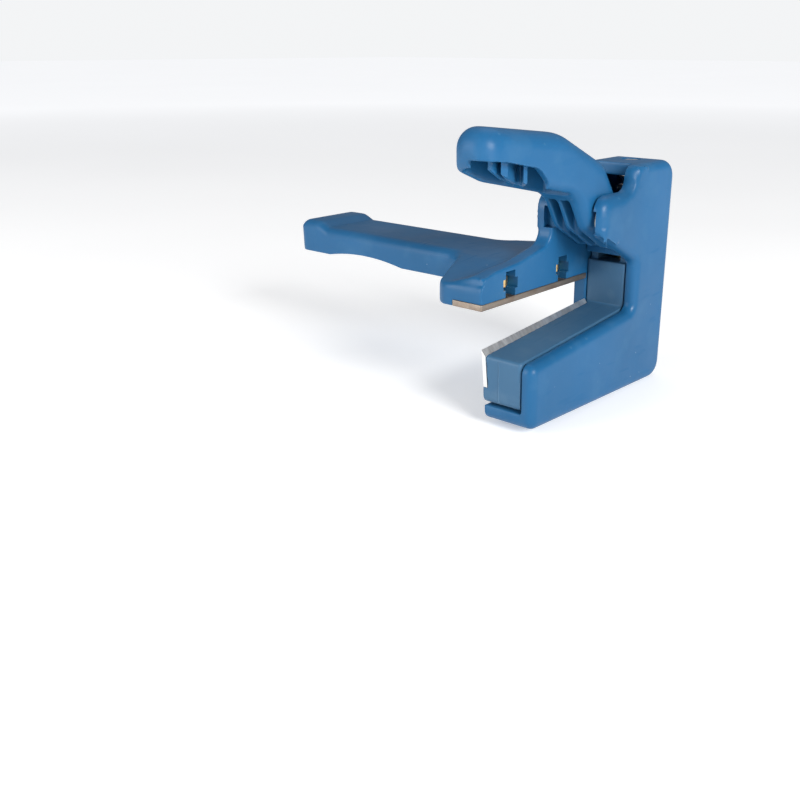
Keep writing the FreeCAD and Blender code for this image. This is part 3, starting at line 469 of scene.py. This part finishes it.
fitted(screws, "plate_screws_slotted", "frame", zinc, "zinc_steel", "shear_plate_screws")


def hexagon(across, u, v, turn=0.0):
    """Corners of a nut: unturned, two of its flats are square to the second direction."""
    reach = across / math.sqrt(3)
    angles = [math.radians(60 * k + turn) for k in range(6)]
    return [(u + reach * math.cos(a), v + reach * math.sin(a), 0.5) for a in angles]


nuts = []
for y in PLATE_SCREWS:
    nut = drawn("nut", hexagon(7.0, -6, y), "Z", 4.55, 7.75)
    nut = rolled(nut, lambda ends: 0.3 if abs(ends[0].z - ends[1].z) < 0.01 else 0.0)
    nuts.append(worked(nut, "DIFFERENCE", [dowel("Z", 2.0, 4, 8, -6, y)]))
nuts = shaded(worked(nuts[0], "UNION", nuts[1:]), 30)
fitted(nuts, "plate_nuts_chamfered", "frame", passivated, "yellow_zinc", "shear_plate_nuts")

# ---------------------------------------------------------------- housing
# The L-shaped housing: a tall hollow column that holds the guide rod, an arm that shields the
# blade carriage, and an ear for the far end of the lever's pivot. Same blue nylon, moulded in one,
# and screwed to the shoe from behind.


def arm_top(y):
    """Height of the arm wall's sloping top."""
    return -14.0 + 0.095 * (y + 41.0)


housing = drawn("housing", [(-41, -35, 3.5), (39, -37.2, 6), (39, 40, 6), (12, 40, 4),
                            (12, 32, 4), (-5.5, 32, 5), (-5.5, 20.3, 3), (17, 8.3, 3),
                            (17, arm_top(17), 3), (-41, arm_top(-41), 3)], "X", 0, 20)


def housing_rim(ends):
    """The outer face's rim: fuller round the ear and the column's upper front."""
    if min(e.x for e in ends) < 19.99:
        return 0.0
    middle = (ends[0] + ends[1]) / 2
    return 4.2 if middle.y < 14 and middle.z > 24 else 2.8


housing = rolled(housing, housing_rim)
coring = [brick(-1, 15.7, -42, 17, -30, 41), brick(-1, 15.7, 16.9, 34.8, -30, 36),
          brick(-1, 1.2, -42, 17, -50, -29)]
housing = worked(housing, "DIFFERENCE", coring)
guide_rib = brick(14.5, 15.8, 20.5, 23.5, -30.5, 5)
cross_bar = brick(0.5, 16.5, 15.5, 16.9, 9.9, 12.5)
housing = worked(housing, "UNION", [guide_rib, cross_bar])
housing = moulded(housing, 0.42, 2)
housing = blended(housing, lambda p: p.x > 16.0 and p.y < 15 and p.z > 26, 60)
ROD = (8, 29.2)
coring = [brick(14.7, 16.9, -6.5, -2.5, 20.5, 27.5), dowel("X", 3.3, 14, 19.15, *PIVOT),
          worked(dowel("Z", 1.52, 34, 41, *ROD), "UNION", [dowel("Z", 3.3, 37.8, 41.2, *ROD)])]
housing = shaded(worked(housing, "DIFFERENCE", coring))
fitted(housing, "housing_moulding", "frame", blue, "blue_plastic", "housing")
screws = []
for (y, z, thick), end in zip(HOUSING_SCREWS, (11, 11, 3.3)):
    seat = 2.2 - thick
    screw = turned("screw", "X", y, z,
                   [(0, seat - 1.9), (2.6, seat - 1.9), (3.0, seat - 1.5), (3.0, seat)] +
                   thread(1.5, seat + 0.05, end - 0.5, 0.5) + [(1.1, end), (0, end)])
    slot = brick(seat - 2.5, seat - 0.9, y - 0.4, y + 0.4, z - 4, z + 4)
    screws.append(worked(screw, "DIFFERENCE", [slot]))
screws = shaded(worked(screws[0], "UNION", screws[1:]), 30)
fitted(screws, "housing_screws_slotted", "frame", zinc, "zinc_steel", "housing_screws")

# ---------------------------------------------------------------- pivot
# The lever's pivot: a zinc-plated shoulder screw with a slotted pan head, turned down to a thread
# in a brass insert in the ear, with a nylon washer each side of the lever. The bushes share the
# insert's brass, and the wear strips share the washers' nylon.
brass = metal("turned_brass", (0.72, 0.54, 0.26), (0.58, 0.42, 0.19), (0.42, 0.30, 0.16),
              0.22, 0.42, lay=(0.1, 1, 1))
nylon = plastic("natural_nylon", (0.72, 0.70, 0.62), (0.62, 0.60, 0.52), (0.80, 0.79, 0.74),
                0.35, 0.55)


def carried(material, *nodes):
    """Give a CAD piece that keeps its shape its real finish."""
    for node in nodes:
        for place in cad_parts[node].material_slots:
            place.material = material


pivot = turned("pivot", "X", *PIVOT,
               [(0, -8.2), (3.6, -8.2), (4.3, -7.9), (4.5, -7.4), (4.5, -6.02), (2.5, -6.02),
                (2.5, 15.8), (2.0, 16.0)] +
               thread(2.0, 16.1, 18.2, 0.7) + [(1.7, 18.7), (0, 18.7)])
pivot = shaded(worked(pivot, "DIFFERENCE", [brick(-9, -7.2, -4, 8, 23.5, 24.5)]), 30)
fitted(pivot, "pivot_screw_slotted", "frame", zinc, "zinc_steel", "pivot_screw")
carried(brass, "pivot_insert", "lever_bushes", "carriage_bushes")
carried(nylon, "pivot_washers", "wear_strips")

# ---------------------------------------------------------------- guide rod and return spring
# The ground steel rod the carriage slides on, its cap screw in the column's top, and the wire
# spring round the rod that pushes the carriage down again. The locating pins, the lift pin and
# the spring washer share the rod's bright steel.
bright = metal("bright_ground_steel", (0.72, 0.73, 0.74), (0.60, 0.61, 0.63),
               (0.48, 0.47, 0.45), 0.10, 0.24, lay=(1, 1, 6), scale=500)
wire = metal("spring_wire", (0.42, 0.42, 0.44), (0.30, 0.30, 0.32), (0.28, 0.22, 0.16),
             0.25, 0.42)
carried(bright, "guide_rod", "locating_pins", "spring_washer", "lift_pin")
cap = turned("cap", "Z", *ROD, [(0, 29.0), (1.1, 29.0)] + thread(1.5, 29.5, 37.4, 0.5) +
             [(1.5, 37.8), (3.0, 37.8), (3.0, 39.3), (2.6, 39.7), (0, 39.7)])
cap = shaded(worked(cap, "DIFFERENCE", [brick(4, 12, 28.8, 29.6, 38.6, 41)]), 30)
fitted(cap, "rod_cap_screw", "frame", zinc, "zinc_steel", "guide_rod_screw")
put_down()
bpy.ops.mesh.primitive_circle_add(vertices=10, radius=0.45 * MM, fill_type="NOTHING",
                                  location=(11.3 * MM, 29.2 * MM, 9.2 * MM),
                                  rotation=(math.pi / 2, 0, 0))
spring = settle(bpy.context.object)
spring.data.transform(Matrix.Translation((-8 * MM, -29.2 * MM, 0)))
coil = spring.modifiers.new("coil", "SCREW")
coil.angle = 9 * 2 * math.pi
coil.steps = 216
coil.render_steps = 216
coil.screw_offset = 26.3 * MM
coil.use_merge_vertices = False
bpy.context.view_layer.objects.active = spring
bpy.ops.object.modifier_apply(modifier="coil")
spring.data.transform(Matrix.Translation((8 * MM, 29.2 * MM, 0)))
spring.select_set(True)
bpy.ops.object.mode_set(mode="EDIT")
bpy.ops.mesh.select_all(action="DESELECT")
bpy.ops.mesh.select_mode(type="EDGE")
bpy.ops.mesh.select_non_manifold()
bpy.ops.mesh.fill_holes(sides=12)
bpy.ops.mesh.select_all(action="SELECT")
bpy.ops.mesh.normals_make_consistent(inside=False)
spring = shaded(settle(spring), 60)
fitted(spring, "return_spring_coil", "frame", wire, "spring_steel", "return_spring")
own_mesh(spring)

# ---------------------------------------------------------------- stop pad
# The rubber stop: a small block of black nitrile rubber with rounded corners, let into the
# housing's floor under the carriage, which it stops on the way down.
rubber = plastic("nitrile_rubber", (0.016, 0.016, 0.017), (0.010, 0.010, 0.011),
                 (0.05, 0.05, 0.05), 0.65, 0.85)
carried(rubber, "buffer_pad")

# ---------------------------------------------------------------- lever
# The thumb lever: a hollow grip with zigzag ribs under it, a thick root that swings on the pivot,
# two deep grooves beside a middle rib, and an open fork that lifts the carriage's pin. Blue nylon.
outline = [(-57, 55.8, 4), (-19.5, 51.7, 22), (4.3, 41.2, 5.5), (14.5, 27.5, 6),
           (24.81, 20.06, 2), (22.3, 12.88, 2), (8.5, 13.4, 4), (-5.2, 21.4, 5), (-12, 32.5, 10),
           (-43.5, 39.2, 14), (-57, 44.6, 7)]
lever = drawn("lever", [(-57, 55.8, 6)] + outline[1:4] + [(30, 0, 0), (-57, 0, 0)],
              "X", 0.7, 15.0)


def grip_rim(ends):
    """The grip's tip is nearly a half round in plan; the top edges are rolled a little less."""
    below = min(e.z for e in ends) < 1 and max(e.y for e in ends) > -56
    if abs(ends[0].x - ends[1].x) > 0.01 or below:
        return 0.0
    return 6.4 if min(e.y for e in ends) < -52 else 5.0


def root_rim(ends):
    """Only the root's lower edge on the housing's side is rolled."""
    if min(e.x for e in ends) <= 15.1 or max(e.z + 0.438 * e.y for e in ends) >= 27.3:
        return 0.0
    return 4.4 if -24 < max(e.y for e in ends) < 8 else 0.0


lever = rolled(lever, grip_rim)
side = rolled(drawn("side", outline, "X", 0, 15.2), root_rim)
lever = worked(lever, "INTERSECT", [side])
lever = moulded(lever, 0.4, 10)


def together(pieces):
    """Join pieces that run through each other into one object, ready for one common skin."""
    put_down()
    for piece in pieces:
        piece.select_set(True)
    bpy.context.view_layer.objects.active = pieces[0]
    bpy.ops.object.join()
    pieces[0].select_set(False)
    return pieces[0]


hollow = [(-54.4, 52.6, 3), (-18.5, 48.9, 8), (-14, 46.5, 1.5), (-14, 20, 0), (-54.4, 20, 0)]
pocket = drawn("pocket", hollow, "X", 2.9, 12.8)
pocket = rolled(pocket, lambda ends: 3.5 if abs(ends[0].x - ends[1].x) < 0.01 and
                max(e.y for e in ends) < -53 else 0.0)
grooves = []
for start in (2.6, 7.2):
    grooves.append(drawn("groove", [(-11.5, 42, 2), (0.5, 36.5, 3), (10, 24.5, 3),
                                    (11.5, 5, 0), (-11.5, 5, 0)], "X", start, start + 3.1))
lever = worked(lever, "DIFFERENCE", [pocket] + grooves)
room = drawn("room", [(-54.5, 53.1, 3), (-18.4, 49.6, 8), (-13.4, 47.2, 1.5), (-13.4, 32.9, 0),
                      (-43.0, 40.6, 3), (-54.5, 45.2, 0)], "X", 2.3, 13.4)
ribs = []
for (x0, y0), (x1, y1) in (((12.0, -54.0), (3.2, -31.0)), ((13.2, -48.5), (3.2, -27.5)),
                           ((13.2, -37.5), (3.2, -25.5))):
    along = Vector((x1 - x0, y1 - y0))
    across = Vector((-along.y, along.x)).normalized() * 0.7
    start, stop = Vector((x0, y0)), Vector((x1, y1))
    ribs.append(drawn("rib", [(*(start + across), 0), (*(stop + across), 0), (*(stop - across), 0),
                              (*(start - across), 0)], "Z", 34, 54))
ribs.append(dowel("Z", 1.6, 34, 54, 5.2, -31.5))
ribs = worked(moulded(together(ribs), 0.25, 2), "INTERSECT", [room])
lever = together([lever, ribs, dowel("X", 4.7, 0.7, 15.0, *PIVOT)])
lever = moulded(lever, 0.34, 2)
scoop = drawn("scoop", [(-59, 20, 0), (-59, 47.0, 0), (-47.7, 45.9, 4), (-33, 43.0, 6),
                        (-27.5, 38.0, 3), (-27.5, 20, 0)], "X", 11.9, 16)
tip = drawn("tip", [(-59, 20, 0), (-59, 46.9, 0), (-51, 46.3, 0), (-51, 20, 0)], "X", 7.4, 16)
lever = worked(lever, "DIFFERENCE", [scoop, tip])
room = brick(-0.1, 16.1, -62, 2, -0.1, 70.1)
room = worked(room, "UNION", [dowel("X", 15.8, 0, 16, *PIVOT, sides=96),
                              brick(0.1, 15.9, 1, 9, 24, 70),
                              brick(3.85, 11.85, 0.1, 40, 0.1, 69.9)])
lever = worked(lever, "INTERSECT", [room])
TAIL = math.radians(19.25)
PIN_REACH = 18.55


def tail(reach, off):
    """A place on the tail: distance from the pivot, and offset across the tail's line."""
    return (PIVOT[0] + reach * math.cos(TAIL) + off * math.sin(TAIL),
            PIVOT[1] - reach * math.sin(TAIL) + off * math.cos(TAIL), 0)


fork = drawn("fork", [tail(PIN_REACH, 1.85), tail(27, 1.85), tail(27, -1.85),
                      tail(PIN_REACH, -1.85)], "X", 0, 16)
lever = worked(lever, "DIFFERENCE", [fork, dowel("X", 1.85, -0.1, 16.1, *tail(PIN_REACH, 0)[:2]),
                                     dowel("X", 3.77, 0, 16, *PIVOT)])
lever = shaded(moulded(lever, 0.34, 3))
fitted(lever, "lever_moulding", "lever", blue, "blue_plastic", "lever")

# ---------------------------------------------------------------- blade carriage
# The block that carries the blade: a bar under the gap and a bushed upright that slides on the rod,
# with two lugs for the lift pin. Satin grey-blue nylon with a witness line down its free end.
satin = plastic("satin_grey_blue", (0.050, 0.140, 0.250), (0.038, 0.112, 0.210),
                (0.15, 0.24, 0.32), 0.36, 0.52)
lug_y, lug_z = 22.045, 17.0


def bar_rim(ends):
    """The bar's outer edges: most along the floor, a little elsewhere."""
    if min(e.x for e in ends) <= 15.1:
        return 0.0
    if abs(ends[0].z - ends[1].z) < 0.1 and max(e.z for e in ends) < -29:
        return 1.6
    return 0.9 if max(e.y for e in ends) < 17 else 0.0


bar = drawn("bar", [(-40.8, -29.5, 2.5), (18, -29.5, 0), (18, arm_top(18) + 0.4, 0),
                    (-40.8, arm_top(-41) + 0.4, 1.2)], "X", 0.5, 15.2)
bar = rolled(bar, bar_rim)
upright = drawn("upright", [(0.3, 17.3, 0.3), (15.2, 17.3, 0.3), (15.2, 34.5, 1),
                            (0.3, 34.5, 1)], "Z", -29.5, 7)
lugs = []
for x in (0.6, 12.2):
    lugs.append(worked(brick(x, x + 2.7, lug_y - 3.2, lug_y + 3.2, 6, lug_z), "UNION",
                       [dowel("X", 3.19, x + 0.01, x + 2.69, lug_y, lug_z)]))
carriage = worked(bar, "UNION", [upright] + lugs)
seat = drawn("seat", [(2.40, -24.0, 0), (1.14, -8.0, 0), (-3.0, -8.0, 0), (-3.0, -24.0, 0)],
             "Y", -41, 16.7)
SLOPE = 0.085
for corner in seat.data.vertices:
    corner.co.z += (corner.co.y + 41 * MM) * SLOPE
cuts = [seat, brick(14.2, 16, 20.2, 23.8, -31, 8), dowel("X", 1.52, -1, 17, lug_y, lug_z),
        worked(dowel("Z", 3.75, -31, -20, *ROD), "UNION",
               [dowel("Z", 4.25, -31.1, -28.5, *ROD), dowel("Z", 3.0, -30, 6, *ROD),
                dowel("Z", 3.75, -1, 8, *ROD)])]
BLADE_SCREWS = [(0.68, y, -20.0 + SLOPE * (y + 41)) for y in (-33.0, -12.0, 9.0)]
for x, y, z in BLADE_SCREWS:
    cuts.append(worked(dowel("X", 1.52, x - 1, x + 9.5, y, z), "UNION",
                       [brick(x + 5.4, x + 8.0, y - 2.85, y + 2.85, -30.5, z + 3.35)]))
cuts += [brick(14.7, 16, -34, -4, -24, -19), brick(14.7, 16, 25.5, 31.5, -24, 2)]
carriage = moulded(worked(carriage, "DIFFERENCE", cuts), 0.36, 2)
witness = drawn("witness", [(6.65, -40.6, 0), (6.95, -41.0, 0), (7.25, -40.6, 0)],
                "Z", -28.0, -14.6)
carriage = shaded(worked(carriage, "UNION", [witness]), 40)
fitted(carriage, "carriage_moulding", "carriage", satin, "grey_blue_plastic", "carriage")

# ---------------------------------------------------------------- blade
# The guillotine blade: flat ground steel with one bevel along its cutting edge and coarse
# grinding marks across it, held on the carriage by three countersunk screws in captive nuts.
blade_finish = metal("blade_ground", (0.90, 0.90, 0.89), (0.72, 0.72, 0.72), (0.56, 0.52, 0.47),
                     0.30, 0.52, lay=(0.4, 1, 0.05), turn=(0.35, 0, 0), scale=1100)
carried(blade_finish, "blade")
screws = []
for x, y, z in BLADE_SCREWS:
    screw = turned("screw", "X", y, z,
                   [(0, x + 0.15), (2.6, x + 0.15), (2.75, x + 0.25), (1.5, x + 1.35)] +
                   thread(1.5, x + 1.45, x + 8.5, 0.5) + [(1.2, x + 9.0), (0, x + 9.0)])
    slot = brick(x - 0.5, x + 0.7, y - 4, y + 4, z - 0.35, z + 0.35)
    screws.append(worked(screw, "DIFFERENCE", [slot]))
screws = shaded(worked(screws[0], "UNION", screws[1:]), 30)
fitted(screws, "blade_screws_slotted", "carriage", zinc, "zinc_steel", "blade_screws")
nuts = []
for x, y, z in BLADE_SCREWS:
    nut = drawn("nut", hexagon(5.5, y, z, 30), "X", x + 5.5, x + 7.9)
    nut = rolled(nut, lambda ends: 0.25 if abs(ends[0].x - ends[1].x) < 0.01 else 0.0)
    nuts.append(worked(nut, "DIFFERENCE", [dowel("X", 1.5, x + 5, x + 8.5, y, z)]))
nuts = shaded(worked(nuts[0], "UNION", nuts[1:]), 30)
fitted(nuts, "blade_nuts_chamfered", "carriage", passivated, "yellow_zinc", "blade_nuts")

# ---------------------------------------------------------------- stage, light and camera
# A pale floor that fades into a pale backdrop, three soft lamps, and the camera. None of it
# belongs to the tool.
put_down()
bpy.ops.mesh.primitive_plane_add(size=16.0, location=(0, 0, cad_box[0].z))
floor = settle(bpy.context.object)
floor.name = "floor"
paper = bpy.data.materials.new("floor_paper")
paper.use_nodes = True
paper_nodes, paper_links = paper.node_tree.nodes, paper.node_tree.links
tone = ramp(paper_nodes, paper_links, pattern(paper_nodes, paper_links, 3, 2),
            [(0.3, grey(0.82)), (0.7, grey(0.86))])
paper_links.new(tone, paper_nodes["Principled BSDF"].inputs["Base Color"])
paper_nodes["Principled BSDF"].inputs["Roughness"].default_value = 0.9
paper_nodes["Principled BSDF"].inputs["Emission Color"].default_value = (0.97, 0.98, 1.0, 1.0)
spot = paper_nodes.new("ShaderNodeTexCoord")
reach = paper_nodes.new("ShaderNodeVectorMath")
reach.operation = "LENGTH"
fade = paper_nodes.new("ShaderNodeMapRange")
fade.inputs["From Min"].default_value = 0.35
fade.inputs["From Max"].default_value = 1.8
fade.inputs["To Min"].default_value = 0.35
fade.inputs["To Max"].default_value = 0.72
paper_links.new(spot.outputs["Object"], reach.inputs[0])
paper_links.new(reach.outputs["Value"], fade.inputs["Value"])
paper_links.new(fade.outputs["Result"], paper_nodes["Principled BSDF"].inputs["Emission Strength"])
floor.data.materials.append(paper)


def lamp(name, place, aim, size, power, colour):
    """A square soft box pointed at a place."""
    light = bpy.data.lights.new(name, "AREA")
    light.size = size
    light.energy = power
    light.color = colour
    holder = bpy.data.objects.new(name, light)
    bpy.context.scene.collection.objects.link(holder)
    holder.location = place
    holder.rotation_euler = (Vector(aim) - Vector(place)).to_track_quat("-Z", "Y").to_euler()


lamp("key", (0.80, -0.25, 0.38), (-0.02, 0, 0), 0.34, 9.4, (1.0, 0.99, 0.97))
lamp("fill", (-0.40, -0.75, 0.25), (-0.02, 0, 0), 0.5, 4.8, (1.0, 0.99, 0.97))
lamp("top", (-0.2, 0.4, 0.9), (-0.02, 0, 0), 0.7, 1.4, (1.0, 1.0, 1.0))
world = bpy.data.worlds.new("studio")
world.use_nodes = True
air, air_links = world.node_tree.nodes, world.node_tree.links
air["Background"].inputs["Color"].default_value = (0.96, 0.97, 1.0, 1.0)
air["Background"].inputs["Strength"].default_value = 0.27
backdrop = air.new("ShaderNodeBackground")
backdrop.inputs["Color"].default_value = (0.90, 0.91, 0.92, 1.0)
choice = air.new("ShaderNodeMixShader")
air_links.new(air.new("ShaderNodeLightPath").outputs["Is Camera Ray"], choice.inputs["Fac"])
air_links.new(air["Background"].outputs["Background"], choice.inputs[1])
air_links.new(backdrop.outputs["Background"], choice.inputs[2])
air_links.new(choice.outputs["Shader"], air["World Output"].inputs["Surface"])
bpy.context.scene.world = world
bpy.context.scene.view_settings.view_transform = "Standard"

eye = bpy.data.cameras.new("camera")
eye.sensor_width = 36
eye.lens = 40.60
eye.shift_x = -0.09805
eye.shift_y = 0.04379
eye.clip_start = 0.01
camera = bpy.data.objects.new("camera", eye)
bpy.context.scene.collection.objects.link(camera)
camera.matrix_world = Matrix(((0.771630, -0.252034, 0.584009, 0.170295),
                              (0.636071, 0.304253, -0.709114, -0.249149),
                              (0.001034, 0.918645, 0.395082, 0.074715),
                              (0, 0, 0, 1)))
bpy.context.scene.camera = camera
